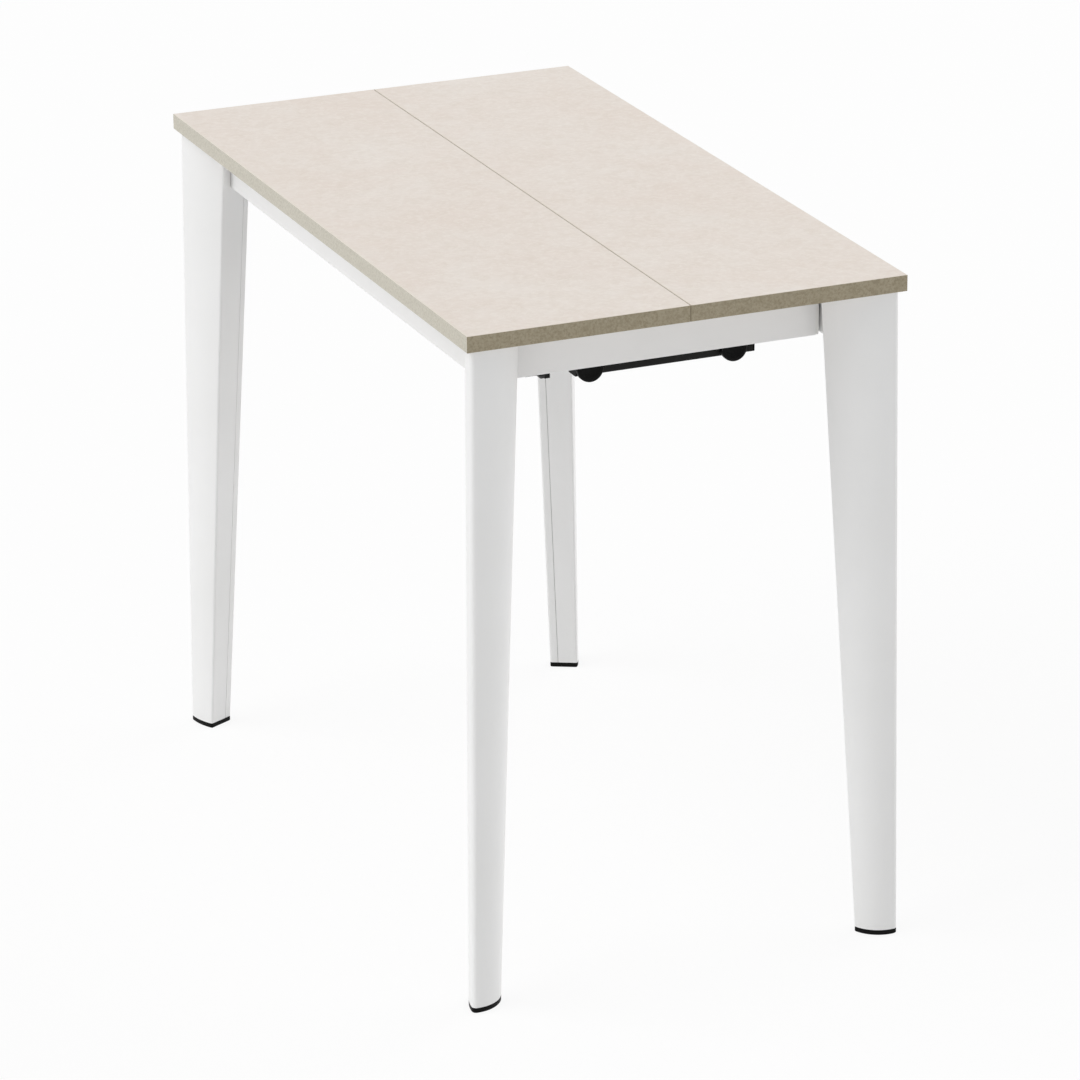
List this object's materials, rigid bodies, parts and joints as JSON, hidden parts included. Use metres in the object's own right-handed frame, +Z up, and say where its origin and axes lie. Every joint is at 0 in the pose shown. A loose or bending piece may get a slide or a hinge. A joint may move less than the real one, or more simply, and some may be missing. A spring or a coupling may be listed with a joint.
{
  "type": "extending console table",
  "caption": "Console table whose split top pulls apart on telescopic guides, with tapered sheet-steel legs, side aprons and support legs that fold up under the middle.",
  "frame": {"origin": "on the floor, under the middle of the closed top", "axes": "+X the way the right end pulls out, +Y along the top's seam to the rear, +Z up"},
  "size_m": [0.5046, 0.9, 0.76],
  "materials": {
    "coated_board": "pale stone-look melamine on chipboard",
    "edge_band": "stone-look ABS band",
    "white_steel": "white powder coat",
    "white_aluminium": "white powder coat",
    "bare_aluminium": "mill finish",
    "black_steel": "black powder coat",
    "black_plastic": "moulded, fine grain",
    "white_plastic": "moulded",
    "natural_nylon": "natural nylon",
    "zinc_steel": "zinc plated",
    "plated_magnet": "nickel plated",
    "beech": "turned, unfinished"
  },
  "bodies": {
    "left_end": {"top_left": "coated_board", "top_edging_left": "edge_band", "leg_front_left": "white_steel", "leg_rear_left": "white_steel", "foot_cap_front_left": "black_plastic", "foot_cap_rear_left": "black_plastic", "apron_left": "white_steel", "guide_front_outer": "white_aluminium", "guide_rear_outer": "white_aluminium", "guide_caps_outer": "white_plastic", "end_plate_front_left": "bare_aluminium", "end_plate_rear_left": "bare_aluminium", "rib_glides_outer": "natural_nylon", "support_pads_left": "natural_nylon", "seam_dowels": "beech", "top_screws_left": "zinc_steel", "apron_bolts_left": "zinc_steel", "end_plate_screws_left": "zinc_steel"},
    "stage_1": {"guide_front_stage_1": "bare_aluminium", "guide_rear_stage_1": "bare_aluminium", "slot_glides_stage_1": "natural_nylon", "rib_glides_stage_1": "natural_nylon"},
    "stage_2": {"guide_front_stage_2": "bare_aluminium", "guide_rear_stage_2": "bare_aluminium", "slot_glides_stage_2": "natural_nylon", "rib_glides_stage_2": "natural_nylon", "cross_tie": "black_steel", "stage_spacers": "natural_nylon", "pivot_bracket_front": "black_steel", "pivot_bracket_rear": "black_steel", "pivot_pins": "zinc_steel", "magnet_catches": "plated_magnet", "stage_screws": "zinc_steel"},
    "stage_3": {"guide_front_stage_3": "bare_aluminium", "guide_rear_stage_3": "bare_aluminium", "slot_glides_stage_3": "natural_nylon", "rib_glides_stage_3": "natural_nylon"},
    "right_end": {"top_right": "coated_board", "top_edging_right": "edge_band", "leg_front_right": "white_steel", "leg_rear_right": "white_steel", "foot_cap_front_right": "black_plastic", "foot_cap_rear_right": "black_plastic", "apron_right": "white_steel", "guide_front_inner": "bare_aluminium", "guide_rear_inner": "bare_aluminium", "end_plate_front_right": "bare_aluminium", "end_plate_rear_right": "bare_aluminium", "slot_glides_inner": "natural_nylon", "support_pads_right": "natural_nylon", "top_screws_right": "zinc_steel", "apron_bolts_right": "zinc_steel", "end_plate_screws_right": "zinc_steel"},
    "support_leg_front": {"support_leg_front": "black_steel", "leg_glides_front": "black_plastic", "leg_plugs_front": "black_plastic"},
    "support_leg_rear": {"support_leg_rear": "black_steel", "leg_glides_rear": "black_plastic", "leg_plugs_rear": "black_plastic"}
  },
  "joints": [
    {"name": "extension", "type": "slide", "parent": "left_end", "child": "right_end", "axis": [1, 0, 0], "range_m": [0, 1]},
    {"name": "stage_1_slide", "type": "slide", "parent": "left_end", "child": "stage_1", "axis": [1, 0, 0], "range_m": [0, 0.25]},
    {"name": "stage_2_slide", "type": "slide", "parent": "left_end", "child": "stage_2", "axis": [1, 0, 0], "range_m": [0, 0.5]},
    {"name": "stage_3_slide", "type": "slide", "parent": "left_end", "child": "stage_3", "axis": [1, 0, 0], "range_m": [0, 0.75]},
    {"name": "front_leg_hinge", "type": "hinge", "parent": "stage_2", "child": "support_leg_front", "pos_m": [-0.11342, -0.324, 0.666], "axis": [-1, 0, 0], "range_deg": [0, 90]},
    {"name": "rear_leg_hinge", "type": "hinge", "parent": "stage_2", "child": "support_leg_rear", "pos_m": [0.11342, 0.324, 0.666], "axis": [1, 0, 0], "range_deg": [0, 90]}
  ],
  "couplings": [
    {"joint": "stage_1_slide", "follows": "extension", "ratio": 0.25},
    {"joint": "stage_2_slide", "follows": "extension", "ratio": 0.5},
    {"joint": "stage_3_slide", "follows": "extension", "ratio": 0.75}
  ]
}
